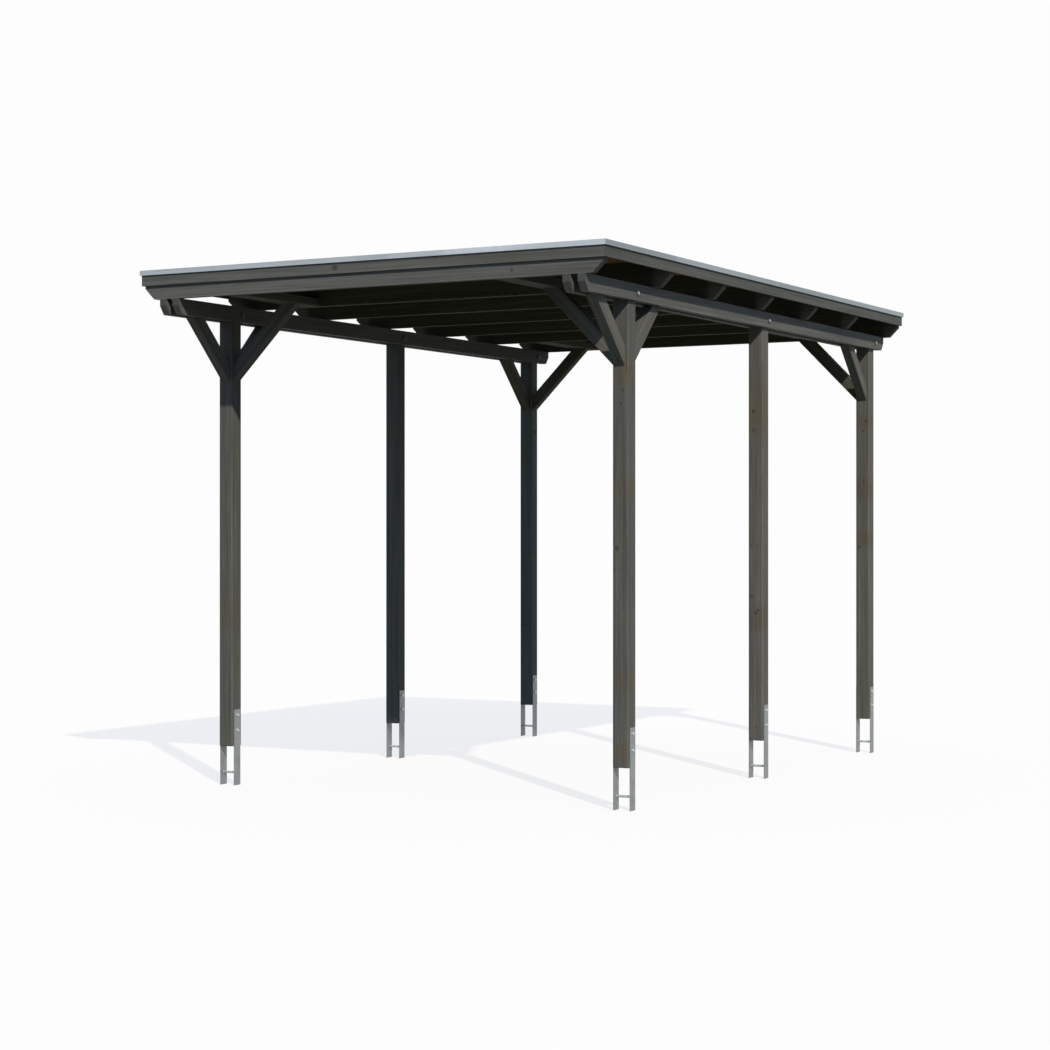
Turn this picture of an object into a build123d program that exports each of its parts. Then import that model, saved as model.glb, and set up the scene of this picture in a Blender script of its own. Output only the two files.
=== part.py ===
# Free-standing timber carport with a flat roof: six posts in galvanised steel feet,
# double purlins, cross rafters, knee braces, fascia boards and a metal roof edge.
# Millimetres, +Z up, ground at Z = 0, width along X, length along Y, entrance at -Y.
import os

from build123d import *

os.makedirs("parts", exist_ok=True)

# Roof outline over the metal edge, and how far it stands out past the post centres
roof_length = 6074
roof_width = 4010
roof_top = 4016
front_overhang = 817
rear_overhang = 309
side_overhang = 260.5

# Posts
post_width = 125
post_bottom = 310
post_chamfer = 7
post_end_chamfer = 4

# Purlins: two planks on each post row
plank_thickness = 60
plank_gap = 58
purlin_depth = 120
purlin_rear_setback = 34
purlin_bevel_length = 48
purlin_bevel_height = 66

# Rafters, and the trimmers between the end pairs of rafters
rafter_thickness = 60
rafter_depth = 195
rafter_bevel = 83
end_rafter_spacing = 1071
trimmer_width = 160
trimmer_depth = 60

# Knee braces at 45 degrees
brace_thickness = 80
brace_depth = 102
brace_drop = 472
brace_chamfer = 4

# Roof covering, fascia and metal edge
fascia_thickness = 20
fascia_height = 114
deck_thickness = 20
deck_board_count = 24
deck_board_gap = 3
membrane_thickness = 4
trim_thickness = 4
trim_face = 38
trim_stand_off = 12
trim_flange = 82

# Steel feet
foot_bar_width = 80
foot_bar_thickness = 7
foot_bar_top = 600
foot_cross_diameter = 18
foot_cross_height = 100

# Bolts: shanks and holes are hidden, so they have few sides
shank_sides = 12
bolt_clearance = 0.4
foot_bolt_diameter = 12
foot_bolt_heights = (435, 555)
purlin_bolt_diameter = 16
purlin_bolt_height = 55
purlin_bolt_offset = 35
purlin_washer_thickness = 3
purlin_washer_diameter = 40

# Places along and across the roof
post_x = roof_width / 2 - side_overhang
first_post_y = -roof_length / 2 + front_overhang
last_post_y = roof_length / 2 - rear_overhang
post_rows = {
    "front": first_post_y,
    "middle": (first_post_y + last_post_y) / 2,
    "rear": last_post_y,
}
purlin_bolt_ys = {
    "front": post_rows["front"] + purlin_bolt_offset,
    "middle": post_rows["middle"],
    "rear": post_rows["rear"] + purlin_bolt_offset,
}
fascia_x = roof_width / 2 - trim_stand_off
fascia_y = roof_length / 2 - trim_stand_off
frame_x = fascia_x - fascia_thickness
frame_y = fascia_y - fascia_thickness
end_rafter_y = frame_y - rafter_thickness / 2
second_rafter_y = end_rafter_y - end_rafter_spacing
rafter_ys = [-end_rafter_y]
rafter_ys += [step * second_rafter_y / 2 for step in (-2, -1, 0, 1, 2)]
rafter_ys += [end_rafter_y]
purlin_front = -frame_y
purlin_rear = frame_y - purlin_rear_setback
plank_offset = (plank_gap + plank_thickness) / 2

# Heights, from the roof edge down
membrane_top = roof_top - trim_thickness
deck_top = membrane_top - membrane_thickness
rafter_top = deck_top - deck_thickness
rafter_bottom = rafter_top - rafter_depth
purlin_bottom = rafter_bottom - purlin_depth
brace_bottom = purlin_bottom - brace_drop
brace_rise = brace_depth * 2**0.5
bolt_line = purlin_bottom + purlin_bolt_height

sides = {"left": -1, "right": 1}


# Posts: chamfered arrises, and a tenon on top that stands between the two purlin planks
for side, sign in sides.items():
    for row, y in post_rows.items():
        x = sign * post_x
        with BuildPart() as post:
            with BuildSketch(Plane.XY.offset(post_bottom)) as section:
                with Locations((x, y)):
                    Rectangle(post_width, post_width)
                chamfer(section.vertices(), post_chamfer)
            extrude(amount=purlin_bottom - post_bottom)
            chamfer(post.faces().sort_by(Axis.Z)[0].edges(), post_end_chamfer)
            with BuildSketch(Plane.XY.offset(purlin_bottom)):
                with Locations((x, y)):
                    Rectangle(plank_gap, post_width)
            extrude(amount=purlin_depth)
            across = Plane(origin=(x, 0, 0), z_dir=(1, 0, 0), x_dir=(0, 1, 0))
            with BuildSketch(across):
                with Locations(*[(y, height) for height in foot_bolt_heights]):
                    RegularPolygon(foot_bolt_diameter / 2 + bolt_clearance, shank_sides)
                with Locations((purlin_bolt_ys[row], bolt_line)):
                    RegularPolygon(purlin_bolt_diameter / 2 + bolt_clearance, shank_sides)
            extrude(amount=post_width, both=True, mode=Mode.SUBTRACT)
        post.part.label = f"post_{row}_{side}"
        export_step(post.part, f"parts/post_{row}_{side}.step")


# Feet: two flat bars against the post's inner and outer faces, and a round bar between them
bar_offset = (post_width + foot_bar_thickness) / 2
for side, sign in sides.items():
    for row, y in post_rows.items():
        x = sign * post_x
        with BuildPart() as foot:
            with BuildSketch():
                with Locations((x - bar_offset, y), (x + bar_offset, y)):
                    Rectangle(foot_bar_thickness, foot_bar_width)
            extrude(amount=foot_bar_top)
            across = Plane(origin=(x, y, 0), z_dir=(1, 0, 0), x_dir=(0, 1, 0))
            with BuildSketch(across):
                with Locations(*[(0, height) for height in foot_bolt_heights]):
                    RegularPolygon(foot_bolt_diameter / 2 + bolt_clearance, shank_sides)
            extrude(amount=post_width, both=True, mode=Mode.SUBTRACT)
            with BuildSketch(across):
                with Locations((0, foot_cross_height)):
                    Circle(foot_cross_diameter / 2)
            extrude(amount=bar_offset, both=True)
        foot.part.label = f"post_foot_{row}_{side}"
        export_step(foot.part, f"parts/post_foot_{row}_{side}.step")


# Purlins: a pair of planks on each post row, with the lower corner of both ends bevelled
for side, sign in sides.items():
    for place, outward in {"inner": -1, "outer": 1}.items():
        x = sign * (post_x + outward * plank_offset)
        with BuildPart() as purlin:
            across = Plane(origin=(x, 0, 0), z_dir=(1, 0, 0), x_dir=(0, 1, 0))
            with BuildSketch(across):
                with BuildLine():
                    Polyline(
                        (purlin_front, rafter_bottom),
                        (purlin_front, purlin_bottom + purlin_bevel_height),
                        (purlin_front + purlin_bevel_length, purlin_bottom),
                        (purlin_rear - purlin_bevel_length, purlin_bottom),
                        (purlin_rear, purlin_bottom + purlin_bevel_height),
                        (purlin_rear, rafter_bottom),
                        close=True,
                    )
                make_face()
                with Locations(*[(y, bolt_line) for y in purlin_bolt_ys.values()]):
                    RegularPolygon(
                        purlin_bolt_diameter / 2 + bolt_clearance,
                        shank_sides,
                        mode=Mode.SUBTRACT,
                    )
            extrude(amount=plank_thickness / 2, both=True)
        purlin.part.label = f"purlin_{side}_{place}"
        export_step(purlin.part, f"parts/purlin_{side}_{place}.step")


# Rafters: seven across the purlins, both ends bevelled below
for number, y in enumerate(rafter_ys, start=1):
    with BuildPart() as rafter:
        with BuildSketch(Plane(origin=(0, y, 0), z_dir=(0, -1, 0), x_dir=(1, 0, 0))):
            with BuildLine():
                Polyline(
                    (-frame_x, rafter_top),
                    (-frame_x, rafter_bottom + rafter_bevel),
                    (-frame_x + rafter_bevel, rafter_bottom),
                    (frame_x - rafter_bevel, rafter_bottom),
                    (frame_x, rafter_bottom + rafter_bevel),
                    (frame_x, rafter_top),
                    close=True,
                )
            make_face()
        extrude(amount=rafter_thickness / 2, both=True)
    rafter.part.label = f"rafter_{number}"
    export_step(rafter.part, f"parts/rafter_{number}.step")


# Knee braces: struts from a post face up to the timber above.
# In the plane given, X points away from the post and Y points up.
def write_brace(name, plane, top):
    reach = top - brace_bottom
    with BuildPart() as brace:
        with BuildSketch(plane):
            with BuildLine():
                Polyline(
                    (0, brace_bottom),
                    (reach, top),
                    (reach - brace_rise, top),
                    (0, brace_bottom + brace_rise),
                    close=True,
                )
            make_face()
        extrude(amount=brace_thickness / 2, both=True)
        chamfer(brace.edges().sort_by(Edge.length)[-4:], brace_chamfer)
    brace.part.label = name
    export_step(brace.part, f"parts/{name}.step")


# The middle posts have no braces, and the rear posts none to the rear
for side, sign in sides.items():
    x = sign * post_x
    for row in ("front", "rear"):
        y = post_rows[row]
        inner_face = Plane(
            origin=(x - sign * post_width / 2, y, 0), x_dir=(-sign, 0, 0), z_dir=(0, sign, 0)
        )
        front_face = Plane(origin=(x, y - post_width / 2, 0), x_dir=(0, -1, 0), z_dir=(-1, 0, 0))
        write_brace(f"brace_{row}_{side}_inward", inner_face, rafter_bottom)
        write_brace(f"brace_{row}_{side}_forward", front_face, purlin_bottom)
    rear_face = Plane(
        origin=(x, post_rows["front"] + post_width / 2, 0), x_dir=(0, 1, 0), z_dir=(1, 0, 0)
    )
    write_brace(f"brace_front_{side}_backward", rear_face, purlin_bottom)


# Trimmers: flat timbers between the end pairs of rafters, centred on the tops of the
# inward braces that meet them
brace_top_centre = post_x - post_width / 2 - (rafter_bottom - brace_bottom) + brace_rise / 2
for side, sign in sides.items():
    for row, pair in {"front": rafter_ys[:2], "rear": rafter_ys[-2:]}.items():
        start = pair[0] + rafter_thickness / 2
        end = pair[1] - rafter_thickness / 2
        with BuildPart() as trimmer:
            with BuildSketch(Plane.XY.offset(rafter_bottom)):
                with Locations((sign * brace_top_centre, (start + end) / 2)):
                    Rectangle(trimmer_width, end - start)
            extrude(amount=trimmer_depth)
        trimmer.part.label = f"trimmer_{row}_{side}"
        export_step(trimmer.part, f"parts/trimmer_{row}_{side}.step")


# Fascia: long boards on the rafter ends, and boards over their ends at the front and rear
def write_fascia(name, centre, size):
    with BuildPart() as fascia:
        with BuildSketch(Plane.XY.offset(membrane_top)):
            with Locations(centre):
                Rectangle(*size)
        extrude(amount=-fascia_height)
    fascia.part.label = name
    export_step(fascia.part, f"parts/{name}.step")


for name, sign in {"front": -1, "rear": 1}.items():
    centre = (0, sign * (fascia_y - fascia_thickness / 2))
    write_fascia(f"fascia_{name}", centre, (2 * fascia_x, fascia_thickness))
for name, sign in sides.items():
    centre = (sign * (fascia_x - fascia_thickness / 2), 0)
    write_fascia(f"fascia_{name}", centre, (fascia_thickness, 2 * frame_y))


# Deck: boards laid along the roof on the rafters, with narrow gaps, under a roofing sheet
deck_pitch = 2 * frame_x / deck_board_count
with BuildPart() as deck:
    with BuildSketch(Plane.XY.offset(rafter_top)):
        with GridLocations(deck_pitch, 0, deck_board_count, 1):
            Rectangle(deck_pitch - deck_board_gap, 2 * frame_y)
    extrude(amount=deck_thickness)
deck.part.label = "roof_deck_boards"
export_step(deck.part, "parts/roof_deck_boards.step")

with BuildPart() as membrane:
    with BuildSketch(Plane.XY.offset(deck_top)):
        Rectangle(2 * frame_x, 2 * frame_y)
    extrude(amount=membrane_thickness)
membrane.part.label = "roof_membrane"
export_step(membrane.part, "parts/roof_membrane.step")


# Metal edge: four mitred lengths, each with a flange on the roof, a face that stands off
# the fascia and a drip return below it. Outward is the side that the face looks to.
def write_trim(name, outward, half_width, half_length):
    along = Vector(0, 0, 1).cross(outward)
    fascia_face = half_width - trim_stand_off
    face_back = half_width - trim_thickness
    face_bottom = roof_top - trim_face
    with BuildPart() as trim:
        with BuildSketch(Plane(origin=(0, 0, 0), x_dir=outward, z_dir=-along)):
            with BuildLine():
                Polyline(
                    (half_width - trim_flange, roof_top),
                    (half_width, roof_top),
                    (half_width, face_bottom),
                    (fascia_face, face_bottom),
                    (fascia_face, face_bottom + trim_thickness),
                    (face_back, face_bottom + trim_thickness),
                    (face_back, membrane_top),
                    (half_width - trim_flange, membrane_top),
                    close=True,
                )
            make_face()
        extrude(amount=half_length, both=True)
        for end in (-1, 1):
            corner = outward * half_width + along * (end * half_length)
            mitre = Plane(origin=corner, z_dir=along * end - outward)
            split(bisect_by=mitre, keep=Keep.BOTTOM)
    trim.part.label = name
    export_step(trim.part, f"parts/{name}.step")


write_trim("edge_trim_front", Vector(0, -1, 0), roof_length / 2, roof_width / 2)
write_trim("edge_trim_rear", Vector(0, 1, 0), roof_length / 2, roof_width / 2)
write_trim("edge_trim_left", Vector(-1, 0, 0), roof_width / 2, roof_length / 2)
write_trim("edge_trim_right", Vector(1, 0, 0), roof_width / 2, roof_length / 2)


# Bolts: a hexagon head on the outer side, the shank through, and a nut on the inner side
head_radius_ratio = 1.05
head_height_ratio = 0.62
nut_height_ratio = 0.8


def make_bolt(x, y, z, outward, grip, diameter, washer_diameter, washer_thickness):
    axis_plane = Plane(origin=(x, y, z), z_dir=(outward, 0, 0), x_dir=(0, 1, 0))
    seat = grip / 2 + washer_thickness
    with BuildPart() as bolt:
        with BuildSketch(axis_plane):
            RegularPolygon(diameter / 2, shank_sides)
        extrude(amount=seat, both=True)
        for end, height_ratio in ((1, head_height_ratio), (-1, nut_height_ratio)):
            if washer_thickness:
                with BuildSketch(axis_plane.offset(end * grip / 2)):
                    Circle(washer_diameter / 2)
                extrude(amount=end * washer_thickness)
            with BuildSketch(axis_plane.offset(end * seat)):
                RegularPolygon(diameter * head_radius_ratio, 6)
            extrude(amount=end * height_ratio * diameter)
    return bolt.part


def write_bolts(name, places, grip, diameter, washer_diameter=0, washer_thickness=0):
    bolts = [
        make_bolt(sign * post_x, y, z, sign, grip, diameter, washer_diameter, washer_thickness)
        for sign in sides.values()
        for y, z in places
    ]
    with BuildPart() as group:
        add(bolts)
    group.part.label = name
    export_step(group.part, f"parts/{name}.step")


foot_bolt_places = [(y, z) for y in post_rows.values() for z in foot_bolt_heights]
write_bolts(
    "foot_bolts", foot_bolt_places, post_width + 2 * foot_bar_thickness, foot_bolt_diameter
)
write_bolts(
    "purlin_bolts",
    [(y, bolt_line) for y in purlin_bolt_ys.values()],
    plank_gap + 2 * plank_thickness,
    purlin_bolt_diameter,
    purlin_washer_diameter,
    purlin_washer_thickness,
)
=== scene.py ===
import itertools
import math

import bmesh
import bpy
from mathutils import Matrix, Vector


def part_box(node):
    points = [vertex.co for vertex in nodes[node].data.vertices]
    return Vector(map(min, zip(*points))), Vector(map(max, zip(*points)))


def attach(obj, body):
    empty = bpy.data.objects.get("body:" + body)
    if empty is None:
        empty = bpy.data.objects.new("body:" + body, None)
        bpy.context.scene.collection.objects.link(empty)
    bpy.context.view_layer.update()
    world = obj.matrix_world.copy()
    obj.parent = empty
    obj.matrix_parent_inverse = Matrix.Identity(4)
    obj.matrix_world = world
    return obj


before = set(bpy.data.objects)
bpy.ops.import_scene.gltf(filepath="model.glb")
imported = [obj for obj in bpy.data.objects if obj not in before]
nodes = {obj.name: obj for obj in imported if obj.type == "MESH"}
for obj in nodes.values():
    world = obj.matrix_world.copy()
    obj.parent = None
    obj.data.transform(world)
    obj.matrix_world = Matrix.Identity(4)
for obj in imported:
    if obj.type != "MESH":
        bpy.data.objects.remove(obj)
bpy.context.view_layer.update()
scene = bpy.context.scene

# Camera of the photograph: level, at eye height, in front of the right front corner. Its
# small shift puts the optical centre where it lies in the square picture.
IMAGE_PIXELS = 1050
FOCAL_PIXELS = 2280.573
CENTRE_PIXELS = (520.262, 532.70)
SENSOR_WIDTH = 36
CAMERA_PLACE = (9.0338, -16.9828, 2.0017)
CAMERA_TURN = math.radians(28.887)

# Light: a sun from the right front, and a pale blue fill from all round
SUN_DIRECTION = (0.962, -0.916, 1.0)
SUN_COLOUR = (1.0, 0.90, 0.78)
SUN_STRENGTH = 4.3
SUN_WIDTH = math.radians(1.0)
FILL_COLOUR = (0.335, 0.470, 0.745)
BACKDROP_WHITE = (0.985, 0.985, 0.985)

# Floor: what the camera sees is mostly white with a pale part that takes the shadow, and
# turns all white further out. What lights the object from below is duller.
FLOOR_PALE = (0.870, 0.825, 0.755)
FLOOR_DULL = (0.160, 0.165, 0.115)
FLOOR_HALF = 120
FLOOR_LEVEL = -0.0006
FLOOR_FADE = (6.0, 16.0)
FLOOR_WHITENESS = 0.80

# Places on the solids, in metres
SIDES = {"left": -1, "right": 1}
POST_X = 1.7445
POST_Y = {"front": -2.220, "middle": 0.254, "rear": 2.728}
POST_HALF = 0.0625
POST_FACE = {row: y - POST_HALF for row, y in POST_Y.items()}
POSTS = [(row, side) for row in POST_Y for side in SIDES]
BRACE_DEPTH = 0.102
BRACE_THICKNESS = 0.080
ROD_Z = 0.100
ROD_RADIUS = 0.009
PURLIN_BOLT_Y = (-2.185, 0.254, 2.763)
PURLIN_BOLT_Z = 3.728
BOLT_HEAD_CORNER = 0.0168
RIGHT_FACE_X = POST_X + POST_HALF
RAFTER_COUNT = 7
RAFTER_FACE_Y = -3.005
FASCIA_FACE_Y = -3.025
FRAME_X = 1.973
BOARD_COUNT = 24
BOARD_PITCH = 2 * FRAME_X / BOARD_COUNT
FLANGE_Y = 2.954

# Stain on the timber, and the bare wood of the roof boards. The darker copy of the stain is
# painted shade, and the paler rafter end and outer board colours are painted light.
STAIN = (0.0725, 0.0780, 0.0710)
STAIN_BROWN = (0.082, 0.071, 0.050)
STAIN_BRACE = (0.086, 0.087, 0.077)
STAIN_WARM = (0.0790, 0.0820, 0.0735)
STAIN_PALE = (0.0895, 0.0885, 0.0800)
STAIN_LIGHT = (0.090, 0.094, 0.087)
STAIN_TRIMMER = (0.086, 0.084, 0.072)
# Painted shade: a darker copy of the stain for timber in the shade of the roof
STAIN_PAINTED_SHADE = (0.063, 0.060, 0.045)
# Painted light: paler colours for the rafter ends and the outer roof boards, where they stand in
# more light
RAFTER_END_PAINTED_LIGHT = (0.122, 0.113, 0.090)
STAIN_DARK = (0.022, 0.019, 0.016)
BARE = (0.150, 0.112, 0.085)
BARE_PAINTED_LIGHT = (0.340, 0.190, 0.130)

# Where the timber under the roof is painted paler near the sides: painted light, as it stands in
# more light there
RAFTER_END_X = 1.82
BOARD_OUTER_X = 1.42
OUTER_FADE = 0.06

# Most of a noise lies between these values
NOISE_USUAL = (0.3, 0.7)

# Timber: width of a growth ring, radius of a usual knot, and how far apart the scattered
# knots lie along and across the grain
RING_WIDTH = 0.0048
KNOT_RADIUS = 0.011
KNOT_SPACING = (0.34, 0.15, 0.15)

# Metal
ZINC_DIPPED = (0.240, 0.262, 0.266)
ZINC_PLATED = (0.56, 0.57, 0.57)
BOLT_STAINED = (0.060, 0.063, 0.062)
BOLT_HEAD = (0.105, 0.108, 0.108)
BOLT_PAINTED_GLINT = (0.46, 0.47, 0.48)
TRIM_END = (0.349, 0.386, 0.426)
# The side trims are the same metal as the end trims; their darker colour is a painted reflection
TRIM_SIDE_PAINTED_REFLECTION = (0.251, 0.289, 0.311)

# Edge trim: where a length with another tone starts, that tone, the joint between the
# sheets, and the tone of the cover on the joint
END_TONES = ((-3.1, 0.97), (0.25, 1.07), (0.71, 1.22))
SIDE_TONES = ((-3.1, 0.88), (-1.89, 1.06), (-0.62, 0.97), (1.3, 1.02))
END_JOINT, END_COVER = -0.014, 1.06
SIDE_JOINT, SIDE_COVER = 0.026, 1.55

# Weld beads start half a millimetre inside the round bar
BEAD_RADIUS = ROD_RADIUS - 0.0005
BEAD_SWELL = 0.0026
BEAD_RIPPLE = 0.0005

# Roofing sheet
RUBBER = (0.032, 0.033, 0.035)
RUBBER_DUSTY = (0.068, 0.066, 0.060)
RUBBER_RING = (0.095, 0.093, 0.085)
LAPS = (-0.657, 0.657)
LAP_HALF = 0.031
LAP_PROFILE = (
    (-LAP_HALF, -0.0004), (-0.030, 0.0010), (-0.026, 0.0018),
    (0.026, 0.0018), (0.030, 0.0010), (LAP_HALF, -0.0004),
)


def rgba(colour):
    return (*colour, 1.0)


def add(name, data):
    made = bpy.data.objects.new(name, data)
    scene.collection.objects.link(made)
    return made


class Tree:
    """Short calls for making the nodes of a material or a world."""

    def __init__(self, owner):
        owner.use_nodes = True
        self.owner = owner
        self.tree = owner.node_tree
        self.shader = self.tree.nodes.get("Principled BSDF")

    def put(self, socket, value):
        """Link an input to another node's output, or set it to a value."""
        if isinstance(value, bpy.types.NodeSocket):
            self.tree.links.new(value, socket)
        elif value is not None:
            socket.default_value = value

    def node(self, kind, **settings):
        made = self.tree.nodes.new(kind)
        for key, value in settings.items():
            setattr(made, key, value)
        return made

    def math(self, operation, a, b=None, c=None):
        made = self.node("ShaderNodeMath", operation=operation)
        for socket, value in zip(made.inputs, (a, b, c)):
            self.put(socket, value)
        return made.outputs[0]

    def product(self, first, *others):
        for other in others:
            first = self.math("MULTIPLY", first, other)
        return first

    def least(self, first, *others):
        for other in others:
            first = self.math("MINIMUM", first, other)
        return first

    def distance(self, a, b):
        """How far two numbers are apart."""
        return self.math("ABSOLUTE", self.math("SUBTRACT", a, b))

    def off_middle(self, value):
        """A noise value, moved to lie about zero."""
        return self.math("SUBTRACT", value, 0.5)

    def vector(self, operation, a, b=None):
        made = self.node("ShaderNodeVectorMath", operation=operation)
        self.put(made.inputs[0], a)
        self.put(made.inputs[1], b)
        single = operation in ("LENGTH", "DOT_PRODUCT")
        return made.outputs["Value" if single else "Vector"]

    def combine(self, x, y, z):
        made = self.node("ShaderNodeCombineXYZ")
        for socket, value in zip(made.inputs, (x, y, z)):
            self.put(socket, value)
        return made.outputs[0]

    def separate(self, vector):
        made = self.node("ShaderNodeSeparateXYZ")
        self.put(made.inputs[0], vector)
        return made.outputs[:3]

    def noise(self, vector, scale=1.0, detail=2.0, roughness=0.5):
        made = self.node("ShaderNodeTexNoise")
        self.put(made.inputs["Vector"], vector)
        made.inputs["Scale"].default_value = scale
        made.inputs["Detail"].default_value = detail
        made.inputs["Roughness"].default_value = roughness
        return made.outputs[0]

    def cells(self, vector, scale):
        made = self.node("ShaderNodeTexVoronoi")
        self.put(made.inputs["Vector"], vector)
        made.inputs["Scale"].default_value = scale
        return made.outputs

    def span(self, value, low, high, out_low=0.0, out_high=1.0, kind="SMOOTHSTEP"):
        """Map the range from low to high to another range, with soft ends."""
        made = self.node("ShaderNodeMapRange", interpolation_type=kind)
        for socket, given in zip(made.inputs, (value, low, high, out_low, out_high)):
            self.put(socket, given)
        return made.outputs[0]

    def linear(self, value, low, high, out_low, out_high):
        """Map a range to another range in a straight line."""
        return self.span(value, low, high, out_low, out_high, kind="LINEAR")

    def vary(self, noise, out_low, out_high):
        """Spread the usual range of a noise over a range of factors."""
        return self.linear(noise, *NOISE_USUAL, out_low, out_high)

    def mix(self, factor, a, b):
        made = self.node("ShaderNodeMix", data_type="RGBA")
        for index, value in ((0, factor), (6, a), (7, b)):
            self.put(made.inputs[index], value)
        return made.outputs[2]

    def scale(self, colour, factor):
        """The colour times a grey factor."""
        made = self.node("ShaderNodeVectorMath", operation="SCALE")
        self.put(made.inputs[0], colour)
        self.put(made.inputs["Scale"], factor)
        return made.outputs["Vector"]

    def ramp(self, value, stops):
        """A grey ramp with a stop at each (place, grey)."""
        made = self.node("ShaderNodeValToRGB")
        self.put(made.inputs[0], value)
        while len(made.color_ramp.elements) < len(stops):
            made.color_ramp.elements.new(0.5)
        for element, (place, grey) in zip(made.color_ramp.elements, stops):
            element.position = place
            element.color = (grey, grey, grey, 1)
        return made.outputs[0]

    def bump(self, height, distance):
        made = self.node("ShaderNodeBump")
        self.put(made.inputs["Height"], height)
        made.inputs["Distance"].default_value = distance
        made.inputs["Strength"].default_value = 1.0
        self.put(self.shader.inputs["Normal"], made.outputs[0])

    def place(self):
        return self.node("ShaderNodeTexCoord").outputs["Object"]

    def normal(self):
        return self.node("ShaderNodeNewGeometry").outputs["Normal"]

    def plain(self, kind, colour):
        """A shader of one colour."""
        made = self.node(kind)
        made.inputs["Color"].default_value = rgba(colour)
        return made.outputs[0]

    def mix_shaders(self, factor, a, b):
        made = self.node("ShaderNodeMixShader")
        for socket, value in zip(made.inputs, (factor, a, b)):
            self.put(socket, value)
        return made.outputs[0]

    def seen_directly(self):
        """1 for what the camera sees, also in a gloss or through glass, and else 0."""
        path = self.node("ShaderNodeLightPath")
        seen = path.outputs["Is Camera Ray"]
        for ray in ("Is Glossy Ray", "Is Transmission Ray"):
            seen = self.math("MAXIMUM", seen, path.outputs[ray])
        return seen


def dress(node, material):
    for slot in nodes[node].material_slots:
        slot.material = material


# Camera
cam_data = bpy.data.cameras.new("camera")
cam = add("camera", cam_data)
cam_data.sensor_width = SENSOR_WIDTH
cam_data.lens = FOCAL_PIXELS / IMAGE_PIXELS * SENSOR_WIDTH
cam_data.shift_x = (IMAGE_PIXELS / 2 - CENTRE_PIXELS[0]) / IMAGE_PIXELS
cam_data.shift_y = (CENTRE_PIXELS[1] - IMAGE_PIXELS / 2) / IMAGE_PIXELS
cam_data.clip_end = 300
cam.location = CAMERA_PLACE
cam.rotation_euler = (math.radians(90), 0, CAMERA_TURN)
scene.camera = cam


# Timber
def slopes(grain):
    """True of the braces, which stand at 45 degrees."""
    return abs(abs(grain.z) - math.sqrt(0.5)) < 0.01


def timber_axes(grain):
    """Directions along the grain and across the two pairs of faces."""
    grain = Vector(grain).normalized()
    if slopes(grain):
        side = Vector((1, 0, 0)) if abs(grain.x) < 0.01 else Vector((0, 1, 0))
    else:
        side = Vector((0, 0, 1)) if abs(grain.z) < 0.5 else Vector((0, 1, 0))
    across = side.cross(grain).normalized()
    return grain, across, grain.cross(across).normalized()


def half_section(axes, size):
    """Half the sizes of a timber across its two pairs of faces."""
    grain, *across = axes
    if slopes(grain):
        return [(BRACE_DEPTH if abs(axis.z) > 0.1 else BRACE_THICKNESS) / 2 for axis in across]
    return [sum(abs(axis[i]) * size[i] for i in range(3)) / 2 for axis in across]


def knot_nearness(t, place, spread, centre, axes, halves, knots):
    """Distance to the nearest knot, counted in that knot's radius."""
    u_axis, v_axis, w_axis = axes
    half_v, half_w = halves

    # A few scattered ones
    cell = tuple(1 / spacing for spacing in KNOT_SPACING)
    scaled = t.vector("MULTIPLY", spread, cell)
    spots = t.cells(scaled, 1.0)
    away = t.vector("DIVIDE", t.vector("SUBTRACT", spots["Position"], scaled), cell)
    draw = t.separate(spots["Color"])[0]
    radius = t.linear(draw, 0.0, 1.0, 0.35 * KNOT_RADIUS, 1.25 * KNOT_RADIUS)
    near = t.math("DIVIDE", t.vector("LENGTH", away), radius)

    # Those that the photograph shows. Depth counts for little, so that each is a short
    # branch into the timber.
    for knot_place, knot_radius in knots:
        point = Vector(knot_place) - centre
        side_v = abs(abs(point.dot(v_axis)) - half_v)
        side_w = abs(abs(point.dot(w_axis)) - half_w)
        deep = v_axis if side_v < side_w else w_axis
        mask = tuple(1 - 0.75 * abs(deep[i]) - 0.12 * abs(u_axis[i]) for i in range(3))
        offset = t.vector("MULTIPLY", t.vector("SUBTRACT", place, knot_place), mask)
        here = t.math("DIVIDE", t.vector("LENGTH", offset), knot_radius)
        near = t.math("MINIMUM", near, here)
    return near


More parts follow.
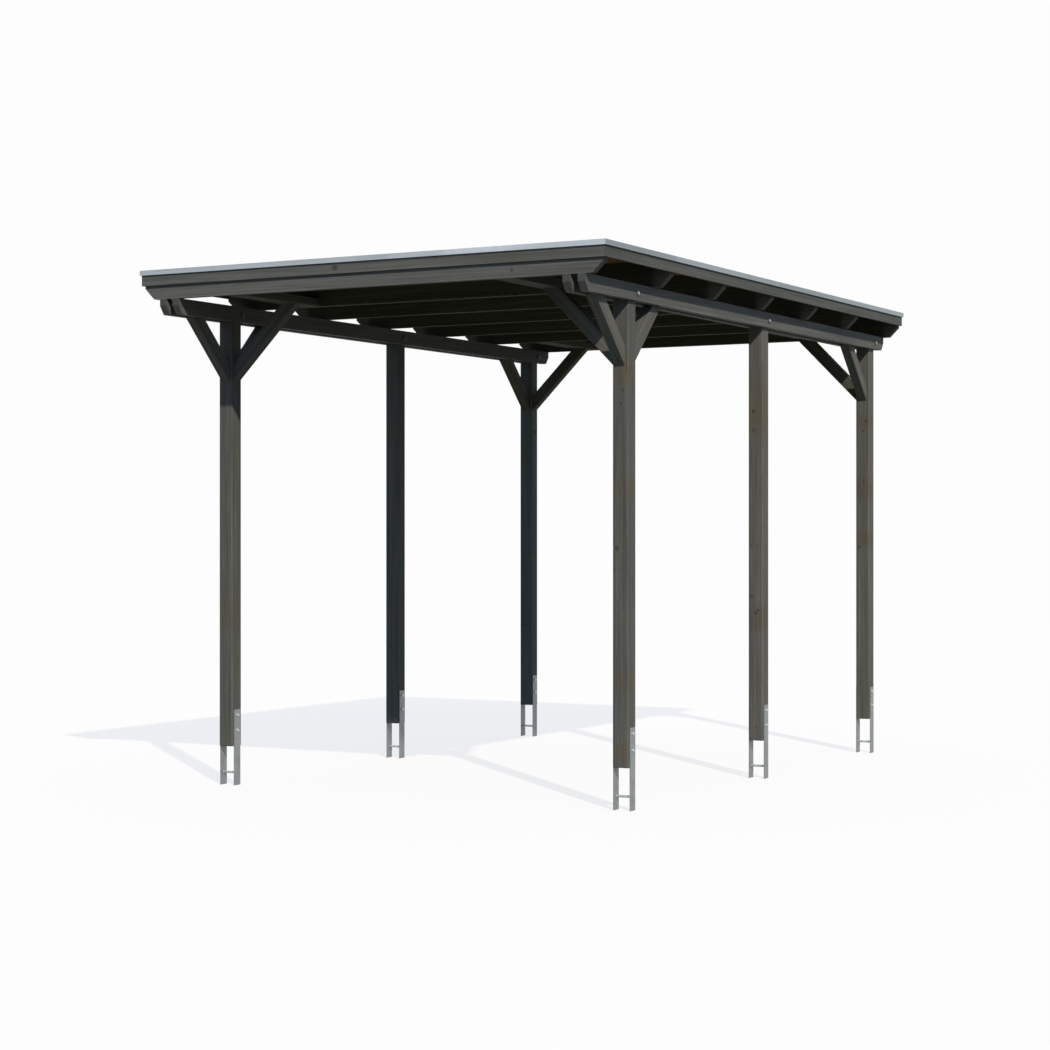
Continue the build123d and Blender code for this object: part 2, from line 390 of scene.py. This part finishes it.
def timber(name, node, grain, seed, colour=STAIN, knots=(), patches=(), gloss=0.12,
           pith=(0.02, 0.03), board=None, brown=0.35, wear_and_highlight=0.35, outer=None):
    """Stained softwood. Its growth rings are a solid pattern about a pith line, so the faces
    and the ends agree.

    knots are (place, radius), and patches are thin places, as (middle along the grain, half
    length). board is (start, pitch) across X, for a node of many boards. outer is (distance
    from the middle, colour): a paler colour painted on near the sides of the roof, as painted
    light where the timber stands in more light.
    """
    t = Tree(bpy.data.materials.new(name))
    low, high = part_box(node)
    centre = (low + high) / 2
    axes = timber_axes(grain)
    half_v, half_w = half_section(axes, high - low)
    place = t.place()
    rel = t.vector("SUBTRACT", place, tuple(centre))
    along, v, w = (t.vector("DOT_PRODUCT", rel, tuple(axis)) for axis in axes)
    u = along
    shift = seed * 3.71
    tone = None
    if board:
        # Each board has its own rings and tone
        start, pitch = board
        x = t.separate(place)[0]
        index = t.math("FLOOR", t.math("DIVIDE", t.math("SUBTRACT", x, start), pitch))
        middle = t.math("MULTIPLY_ADD", t.math("ADD", index, 0.5), pitch, start)
        draw = t.node("ShaderNodeTexWhiteNoise", noise_dimensions="1D")
        t.put(draw.inputs["W"], index)
        tone = draw.outputs["Value"]
        v_axis = axes[1]
        if abs(v_axis.x) > 0.5:
            v = t.math("MULTIPLY", t.math("SUBTRACT", x, middle), v_axis.x)
            half_v = pitch / 2
        u = t.math("MULTIPLY_ADD", tone, 9.0, u)
        shift = t.math("MULTIPLY", index, 2.37)
    spread = t.vector("ADD", t.combine(u, v, w), t.combine(shift, shift, shift))

    def stretched(along_scale, across_scale, detail=2.0, roughness=0.5):
        """Noise drawn out along the grain; the scales are per metre."""
        scaled = t.vector("MULTIPLY", spread, (along_scale, across_scale, across_scale))
        return t.noise(scaled, detail=detail, roughness=roughness)

    near = knot_nearness(t, place, spread, centre, axes, (half_v, half_w), knots)
    ragged = stretched(60, 90, detail=1)
    near_soft = t.math("MULTIPLY_ADD", t.off_middle(ragged), 0.5, near)
    knot = t.span(near_soft, 0.85, 1.2, 1.0, 0.0)
    knot_rim = t.product(t.span(near_soft, 0.65, 1.0), knot)
    halo = t.span(near, 1.0, 3.4, 1.0, 0.0)

    # Growth rings, which bend round the knots; late wood is the dark part of a ring
    bend = t.product(t.off_middle(stretched(0.7, 1.5, detail=1)), 0.05)
    wobble = t.product(t.off_middle(stretched(2.5, 12)), 0.012)
    from_pith = t.combine(
        0.0,
        t.math("ADD", t.math("ADD", v, pith[0]), bend),
        t.math("ADD", t.math("ADD", w, pith[1]), wobble),
    )
    rings = t.math("MULTIPLY_ADD", halo, 0.009, t.vector("LENGTH", from_pith))
    rings = t.math("FRACT", t.math("DIVIDE", rings, RING_WIDTH))
    late = t.ramp(rings, ((0.0, 0.15), (0.5, 0.25), (0.86, 1.0), (0.95, 0.85), (1.0, 0.15)))

    broad = stretched(0.9, 50, detail=3, roughness=0.6)
    slow = stretched(1.3, 9)
    fibre = stretched(7, 420, roughness=0.7)
    streak = stretched(1.6, 130, roughness=0.6)
    blotch = stretched(2.4, 9, roughness=0.4)

    # Brown places where the stain is thin
    thin = t.span(blotch, 0.52, 0.72)
    for middle, half_length in patches:
        patch = t.span(t.distance(along, middle), 0.2 * half_length, half_length, 1.6, 0.0)
        thin = t.math("MAXIMUM", thin, patch)
    thin = t.product(thin, t.span(broad, 0.30, 0.62))

    base = rgba(colour)
    # Painted light: a paler colour near the sides of the roof
    if outer:
        painted_light_start, painted_light_colour = outer
        from_middle = t.math("ABSOLUTE", t.separate(place)[0])
        base = t.mix(t.span(from_middle, painted_light_start, painted_light_start + OUTER_FADE), base, rgba(painted_light_colour))
    tint = t.mix(t.product(thin, brown), base, rgba(STAIN_BROWN))
    warm = t.product(t.span(streak, 0.52, 0.70), t.span(slow, 0.35, 0.65, 0.15, 0.55))
    tint = t.mix(warm, tint, rgba(STAIN_BROWN))
    level = t.product(
        t.linear(broad, 0.28, 0.72, 0.77, 1.23),
        t.linear(slow, 0.25, 0.75, 0.90, 1.10),
        t.linear(fibre, 0.2, 0.8, 0.86, 1.14),
        t.vary(streak, 0.82, 1.17),
        t.linear(late, 0.0, 1.0, 1.05, 0.86),
    )
    if tone is not None:
        level = t.product(level, t.linear(tone, 0.0, 1.0, 0.82, 1.18))
    tint = t.scale(tint, level)

    # Arrises painted lighter in patches: partly abrasion of the stain, partly painted highlight
    # where the edges catch the light
    edge = t.math(
        "MINIMUM",
        t.math("SUBTRACT", t.math("ABSOLUTE", v), half_v),
        t.math("SUBTRACT", t.math("ABSOLUTE", w), half_w),
    )
    arris_wear_and_highlight = t.product(t.span(edge, -0.010, -0.002), t.span(slow, 0.3, 0.6))
    tint = t.mix(t.product(arris_wear_and_highlight, wear_and_highlight), tint, t.scale(tint, 1.45))

    # Knots, drying cracks and end grain
    tint = t.mix(t.product(halo, 0.22), tint, rgba(STAIN_BROWN))
    tint = t.mix(t.product(knot, 0.62), tint, rgba(tuple(c * 1.4 for c in STAIN_DARK)))
    tint = t.mix(t.product(knot_rim, 0.5), tint, rgba(STAIN_DARK))
    line = t.math("ABSOLUTE", t.off_middle(stretched(0.8, 26, detail=0)))
    crack = t.product(
        t.span(line, 0.0, 0.010, 1.0, 0.0),
        t.span(stretched(1.1, 6, detail=1), 0.58, 0.66),
    )
    ends = t.math("ABSOLUTE", t.vector("DOT_PRODUCT", t.normal(), tuple(axes[0])))
    ends = t.span(ends, 0.80, 0.92)
    crack = t.product(crack, t.math("SUBTRACT", 1.0, ends))
    tint = t.mix(t.product(crack, 0.8), tint, rgba(STAIN_DARK))
    tint = t.scale(tint, t.linear(ends, 0.0, 1.0, 1.0, 0.62))

    t.put(t.shader.inputs["Base Color"], tint)
    rough = t.linear(late, 0.0, 1.0, 0.80, 0.66)
    rough = t.math("ADD", rough, t.product(arris_wear_and_highlight, -0.08))
    t.put(t.shader.inputs["Roughness"], rough)
    t.shader.inputs["Specular IOR Level"].default_value = gloss
    height = t.product(late, 0.14)
    for relief, depth in ((fibre, 0.22), (broad, 0.20), (knot, 0.30), (crack, -0.90)):
        height = t.math("MULTIPLY_ADD", relief, depth, height)
    t.bump(height, 0.001)
    return t.owner


# Knots, thin places and single tones that the photograph shows
knots = {
    "post_front_right": [
        ((1.717, POST_FACE["front"], 1.890), 0.014), ((1.765, POST_FACE["front"], 3.025), 0.010),
        ((1.749, POST_FACE["front"], 2.932), 0.009), ((RIGHT_FACE_X, -2.296, 1.374), 0.011),
    ],
    "post_middle_right": [
        ((1.726, POST_FACE["middle"], 2.991), 0.013), ((1.730, POST_FACE["middle"], 2.836), 0.011),
        ((1.745, POST_FACE["middle"], 1.349), 0.013),
    ],
    "post_rear_right": [
        ((1.778, POST_FACE["rear"], 3.014), 0.011), ((1.754, POST_FACE["rear"], 2.924), 0.010),
        ((1.716, POST_FACE["rear"], 1.870), 0.011),
    ],
    "rafter_1": [((1.253, RAFTER_FACE_Y, 3.843), 0.010)],
    "fascia_front": [((-0.218, FASCIA_FACE_Y, 3.942), 0.019)],
}
patches = {
    "post_front_right": [(1.10, 0.16), (0.27, 0.12), (-1.12, 0.12), (-1.62, 0.12)],
    "post_front_left": [(-0.70, 0.20)],
    "post_middle_right": [(0.95, 0.36), (-0.75, 0.16)],
    "post_rear_right": [(0.95, 0.10), (0.35, 0.16), (-0.10, 0.10)],
    "fascia_front": [(1.289, 0.14), (1.606, 0.10)],
}
colours = {
    "post_front_left": STAIN_WARM,
    "post_middle_right": STAIN_PALE,
    "post_rear_right": STAIN_PALE,
    # The rear left braces and the rear right inward brace stand in the shade of the roof and get
    # darker tones, as painted shade; the sunlit front right forward brace gets a paler tone, as
    # painted light
    "brace_front_right_forward": (0.096, 0.096, 0.085),
    "brace_front_left_inward": STAIN_WARM,
    "brace_front_left_forward": (0.092, 0.090, 0.078),
    "brace_front_left_backward": STAIN_WARM,
    "brace_rear_left_inward": STAIN_PAINTED_SHADE,
    "brace_rear_left_forward": STAIN_PAINTED_SHADE,
    "brace_rear_right_inward": (0.052, 0.050, 0.040),
}
ACROSS, LENGTHWISE, UPRIGHT = (1, 0, 0), (0, 1, 0), (0, 0, 1)
timber_numbers = itertools.count(1)


def dress_timber(node, grain, colour, **finish):
    """Each timber is cut from another place of the wood, by its number."""
    dress(node, timber(
        f"{node}_timber", node, grain, next(timber_numbers), colour=colours.get(node, colour),
        knots=knots.get(node, ()), patches=patches.get(node, ()), **finish,
    ))


for number, (row, side) in enumerate(POSTS, start=1):
    dress_timber(f"post_{row}_{side}", UPRIGHT, STAIN, gloss=0.15, brown=0.65,
                 pith=(0.012 + 0.006 * number, 0.008 * number - 0.03))

for side in SIDES:
    for position in ("inner", "outer"):
        dress_timber(f"purlin_{side}_{position}", LENGTHWISE, STAIN_LIGHT, pith=(0.03, 0.07))

# The first rafter stands in the light; the others get a darker stain as painted shade, and a paler
# colour at their ends as painted light
dress_timber("rafter_1", ACROSS, STAIN_LIGHT, pith=(0.02, 0.13))
for number in range(2, RAFTER_COUNT + 1):
    dress_timber(f"rafter_{number}", ACROSS, STAIN_PAINTED_SHADE, pith=(0.02, 0.13), gloss=0.03,
                 outer=(RAFTER_END_X, RAFTER_END_PAINTED_LIGHT))

for row in ("front", "rear"):
    for side in SIDES:
        dress_timber(f"trimmer_{row}_{side}", LENGTHWISE, STAIN_TRIMMER, pith=(0.03, 0.05),
                     gloss=0.04)

for side, sign in SIDES.items():
    for row in ("front", "rear"):
        directions = {"inward": (-sign, 0, 1), "forward": (0, -1, 1)}
        if row == "front":
            directions["backward"] = (0, 1, 1)
        for way, grain in directions.items():
            dress_timber(f"brace_{row}_{side}_{way}", grain, STAIN_BRACE, pith=(0.03, 0.02))

for place, grain, colour in (
    ("front", ACROSS, STAIN_LIGHT), ("rear", ACROSS, STAIN_LIGHT),
    ("left", LENGTHWISE, STAIN), ("right", LENGTHWISE, STAIN),
):
    dress_timber(f"fascia_{place}", grain, colour, pith=(0.05, 0.09), gloss=0.10)

dress("roof_deck_boards", timber(
    "deck_timber", "roof_deck_boards", LENGTHWISE, next(timber_numbers), colour=BARE,
    pith=(0.02, 0.06), board=(-FRAME_X, BOARD_PITCH), gloss=0.0, brown=0.5, wear_and_highlight=0.2,
    outer=(BOARD_OUTER_X, BARE_PAINTED_LIGHT),
))


# Metals
def galvanised(name, seed):
    """Hot-dipped zinc with spangle. The round bar between a foot's flat bars is painted lighter,
    as painted light for its sunlit top.
    """
    t = Tree(bpy.data.materials.new(name))
    place = t.vector("ADD", t.place(), (seed, seed * 0.7, seed * 1.3))
    spangle = t.separate(t.cells(place, 90.0)["Color"])[0]
    cloud = t.noise(place, scale=9.0, detail=4.0, roughness=0.6)
    run = t.noise(t.vector("MULTIPLY", place, (60, 60, 3)))
    x, _, z = t.separate(t.place())
    # Painted light on the round bar between the flat bars
    from_post = t.distance(t.math("ABSOLUTE", x), POST_X)
    inside = t.span(from_post, POST_HALF - 0.0006, POST_HALF - 0.0002, 1.0, 0.0)
    near_rod = t.span(t.distance(z, ROD_Z), ROD_RADIUS + 0.001, ROD_RADIUS + 0.002, 1.0, 0.0)
    level = t.product(
        t.linear(spangle, 0, 1, 0.92, 1.08),
        t.vary(cloud, 0.84, 1.14),
        t.vary(run, 0.94, 1.06),
        t.linear(t.product(inside, near_rod), 0, 1, 1.0, 1.75),
    )
    t.put(t.shader.inputs["Base Color"], t.scale(ZINC_DIPPED, level))
    t.shader.inputs["Metallic"].default_value = 0.6
    t.put(t.shader.inputs["Roughness"], t.vary(cloud, 0.40, 0.58))
    t.bump(t.math("MULTIPLY_ADD", spangle, 0.05, t.product(cloud, 0.3)), 0.001)
    return t.owner


def zinc(name):
    """Zinc plating, on the foot bolts."""
    t = Tree(bpy.data.materials.new(name))
    cloud = t.noise(t.place(), scale=120.0, detail=3.0)
    t.put(t.shader.inputs["Base Color"], t.scale(ZINC_PLATED, t.vary(cloud, 0.85, 1.05)))
    t.shader.inputs["Metallic"].default_value = 1.0
    t.put(t.shader.inputs["Roughness"], t.vary(cloud, 0.34, 0.50))
    t.bump(cloud, 0.0001)
    return t.owner


def stained_bolts(name):
    """Heads and washers that took stain with the timber. The outer heads get a painted glint: a
    pale, partly metallic spot about the axis.
    """
    t = Tree(bpy.data.materials.new(name))
    place = t.place()
    x, y, z = t.separate(place)
    height = t.math("SUBTRACT", z, PURLIN_BOLT_Z)
    from_axis = t.least(*(
        t.vector("LENGTH", t.combine(0.0, t.math("SUBTRACT", y, bolt_y), height))
        for bolt_y in PURLIN_BOLT_Y
    ))
    cloud = t.noise(place, scale=140.0, detail=3.0)
    ragged = t.math("MULTIPLY_ADD", t.off_middle(cloud), 0.006, from_axis)
    outer_side = t.span(t.math("ABSOLUTE", x), POST_X, POST_X + 0.01, 0.06, 1.0)
    # Painted glint on the outer heads
    painted_glint = t.product(t.span(ragged, 0.0075, 0.0115, 1.0, 0.0), outer_side)
    head = t.span(from_axis, BOLT_HEAD_CORNER, BOLT_HEAD_CORNER + 0.0004, 1.0, 0.0)
    head = t.product(head, outer_side)
    tint = t.mix(head, rgba(BOLT_STAINED), rgba(BOLT_HEAD))
    tint = t.mix(painted_glint, tint, rgba(BOLT_PAINTED_GLINT))
    t.put(t.shader.inputs["Base Color"], t.scale(tint, t.vary(cloud, 0.85, 1.12)))
    t.put(t.shader.inputs["Metallic"], t.product(painted_glint, 0.55))
    t.put(t.shader.inputs["Roughness"], t.linear(painted_glint, 0, 1, 0.62, 0.42))
    t.bump(cloud, 0.0002)
    return t.owner


def edge_metal(name, axis, colour, tones, joint_place, cover_tone):
    """Folded sheet along one axis, in lengths of different tone."""
    t = Tree(bpy.data.materials.new(name))
    place = t.place()
    along = t.separate(place)[axis]
    stretch = (0.8, 40, 40) if axis == 0 else (40, 0.8, 40)
    roll = t.noise(t.vector("MULTIPLY", place, stretch))
    wave = t.noise(t.vector("MULTIPLY", place, (1.1, 1.1, 6.0)))
    cloud = t.noise(place, scale=30.0, detail=4.0)
    tone = tones[0][1]
    for (start, _), (_, before), (_, after) in zip(tones[1:], tones, tones[1:]):
        change = t.span(along, start - 0.02, start + 0.02, 0.0, after - before)
        tone = t.math("ADD", change, tone)
    from_joint = t.distance(along, joint_place)
    gap = t.span(from_joint, 0.0008, 0.0022, 1.0, 0.0)
    cover = t.span(from_joint, 0.008, 0.012, 1.0, 0.0)
    level = t.product(
        t.vary(wave, 0.90, 1.10),
        t.vary(roll, 0.96, 1.04),
        t.vary(cloud, 0.96, 1.04),
        tone,
        t.linear(gap, 0, 1, 1.0, 0.35),
        t.linear(cover, 0, 1, 1.0, cover_tone),
    )
    t.put(t.shader.inputs["Base Color"], t.scale(colour, level))
    # The flange on the roof is dusty, so it is duller than the upright face
    flat = t.span(t.separate(t.normal())[2], 0.6, 0.9)
    t.put(t.shader.inputs["Metallic"], t.linear(flat, 0, 1, 0.7, 0.25))
    rough = t.math("MULTIPLY_ADD", flat, 0.30, t.vary(cloud, 0.36, 0.48))
    t.put(t.shader.inputs["Roughness"], rough)
    t.bump(t.math("MULTIPLY_ADD", gap, -0.8, t.product(wave, 2.0)), 0.001)
    return t.owner


for number, (row, side) in enumerate(POSTS):
    name = f"post_foot_{row}_{side}"
    dress(name, galvanised(f"{name}_zinc", number * 1.7))
dress("foot_bolts", zinc("foot_bolt_zinc"))
dress("purlin_bolts", stained_bolts("purlin_bolt_stained"))
for edge in ("front", "rear"):
    dress(f"edge_trim_{edge}", edge_metal(
        f"edge_trim_{edge}_metal", 0, TRIM_END, END_TONES, END_JOINT, END_COVER
    ))
for edge in ("left", "right"):
    dress(f"edge_trim_{edge}", edge_metal(
        f"edge_trim_{edge}_metal", 1, TRIM_SIDE_PAINTED_REFLECTION, SIDE_TONES, SIDE_JOINT, SIDE_COVER
    ))


def rubber(name):
    """Roofing sheet with dust, drying rings round its low places, and dirt along its laps."""
    t = Tree(bpy.data.materials.new(name))
    place = t.place()
    cloud = t.noise(place, scale=0.8, detail=8.0, roughness=0.62)
    dust = t.noise(place, scale=9.0, detail=6.0, roughness=0.72)
    fine = t.noise(place, scale=260.0)
    grit = t.noise(place, scale=900.0, detail=1.0)
    sag = t.noise(place, scale=1.6, detail=1.0)
    tint = t.mix(t.span(cloud, 0.46, 0.66, 0.0, 0.45), rgba(RUBBER), rgba(RUBBER_DUSTY))
    ring = t.span(t.distance(cloud, 0.47), 0.0, 0.007, 1.0, 0.0)
    ring = t.product(ring, t.span(dust, 0.4, 0.6))
    tint = t.mix(t.product(ring, 0.35), tint, rgba(RUBBER_RING))
    tint = t.scale(tint, t.vary(dust, 0.84, 1.2))
    tint = t.scale(tint, t.vary(grit, 0.88, 1.12))
    x = t.separate(place)[0]
    from_lap = t.least(*(t.distance(x, lap_x) for lap_x in LAPS))
    dirt = t.span(t.distance(from_lap, LAP_HALF), 0.0, 0.016, 1.0, 0.0)
    tint = t.scale(tint, t.linear(dirt, 0, 1, 1.0, 0.62))
    t.put(t.shader.inputs["Base Color"], tint)
    t.shader.inputs["Specular IOR Level"].default_value = 0.12
    t.put(t.shader.inputs["Roughness"], t.vary(dust, 0.78, 0.92))
    t.bump(t.math("MULTIPLY_ADD", sag, 2.0, t.product(fine, 0.12)), 0.001)
    return t.owner


membrane_rubber = rubber("roof_membrane_rubber")
dress("roof_membrane", membrane_rubber)


# Floor and light
def floor_pale(name):
    """Pale with the object's shadow, and as white as the backdrop further out."""
    t = Tree(bpy.data.materials.new(name))
    t.tree.nodes.remove(t.shader)
    white = t.plain("ShaderNodeEmission", BACKDROP_WHITE)
    pale = t.plain("ShaderNodeBsdfDiffuse", FLOOR_PALE)
    dull = t.plain("ShaderNodeBsdfDiffuse", FLOOR_DULL)
    whiteness = t.span(t.vector("LENGTH", t.place()), *FLOOR_FADE, FLOOR_WHITENESS, 1.0)
    shown = t.mix_shaders(whiteness, pale, white)
    output = t.tree.nodes["Material Output"]
    t.put(output.inputs[0], t.mix_shaders(t.seen_directly(), dull, shown))
    return t.owner


def fill_and_backdrop(name):
    """A world that lights the object with the fill, and that the camera sees as white."""
    t = Tree(bpy.data.worlds.new(name))
    fill = t.tree.nodes["Background"]
    fill.inputs["Color"].default_value = rgba(FILL_COLOUR)
    backdrop = t.plain("ShaderNodeBackground", BACKDROP_WHITE)
    output = t.tree.nodes["World Output"]
    t.put(output.inputs[0], t.mix_shaders(t.seen_directly(), fill.outputs[0], backdrop))
    return t.owner


corners = ((-1, -1), (1, -1), (1, 1), (-1, 1))
floor_mesh = bpy.data.meshes.new("floor")
floor_mesh.from_pydata(
    [(x * FLOOR_HALF, y * FLOOR_HALF, FLOOR_LEVEL) for x, y in corners], [], [(0, 1, 2, 3)]
)
floor = add("floor", floor_mesh)
floor_mesh.materials.append(floor_pale("floor_pale"))

scene.world = fill_and_backdrop("world")
sun = add("sun", bpy.data.lights.new("sun", "SUN"))
sun.data.energy = SUN_STRENGTH
sun.data.color = SUN_COLOUR
sun.data.angle = SUN_WIDTH
sun.rotation_euler = Vector(SUN_DIRECTION).to_track_quat("Z", "Y").to_euler()


# Pieces of the scene's own
def skin(made, rings):
    """Faces between each ring of points and the next."""
    for a, b in zip(rings, rings[1:]):
        for j in range(len(a)):
            k = (j + 1) % len(a)
            made.faces.new((a[j], b[j], b[k], a[k]))


def add_mesh(name, made):
    bmesh.ops.recalc_face_normals(made, faces=made.faces)
    mesh = bpy.data.meshes.new(name)
    made.to_mesh(mesh)
    made.free()
    return add(name, mesh)


def bead(name, x, y, z, sign, steps=36, sides=8):
    """A slightly uneven weld bead round a foot's round bar, on a flat bar."""
    made = bmesh.new()
    rings = []
    for i in range(steps):
        angle = math.tau * i / steps
        swell = BEAD_SWELL + BEAD_RIPPLE * math.sin(9 * angle + 5 * x + 3 * y)
        ring = []
        for j in range(sides):
            turn = math.tau * j / sides
            radius = BEAD_RADIUS + swell * math.cos(turn)
            ring.append(made.verts.new((
                x + sign * swell * math.sin(turn), y + radius * math.cos(angle),
                z + radius * math.sin(angle),
            )))
        rings.append(ring)
    skin(made, rings + rings[:1])
    piece = add_mesh(name, made)
    piece.data.shade_smooth()
    return piece


def lap_strip(name, x, y_low, y_high, z, steps=60):
    """The lap between two rolls of roofing sheet: a low strip with soft, wavy edges."""
    made = bmesh.new()
    rings = []
    for i in range(steps + 1):
        y = y_low + (y_high - y_low) * i / steps
        sway = 0.0016 * math.sin(2.1 * y + 7 * x) + 0.0009 * math.sin(5.3 * y - x)
        rings.append([made.verts.new((x + sway + dx, y, z + dz)) for dx, dz in LAP_PROFILE])
    skin(made, rings)
    made.faces.new(rings[0])
    made.faces.new(rings[-1])
    return add_mesh(name, made)


for row, side in POSTS:
    foot_zinc = nodes[f"post_foot_{row}_{side}"].material_slots[0].material
    post_x = SIDES[side] * POST_X
    for end in (-1, 1):
        place = "inner" if end * post_x < 0 else "outer"
        piece = bead(f"weld_bead_{row}_{side}_{place}", post_x + end * POST_HALF, POST_Y[row],
                     ROD_Z, -end)
        piece.data.materials.append(foot_zinc)
        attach(piece, "root")

_, sheet_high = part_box("roof_membrane")
for number, x in enumerate(LAPS, start=1):
    piece = lap_strip(f"roof_lap_{number}", x, -FLANGE_Y, FLANGE_Y, sheet_high.z)
    piece.data.materials.append(membrane_rubber)
    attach(piece, "root")

scene.view_settings.view_transform = "Standard"
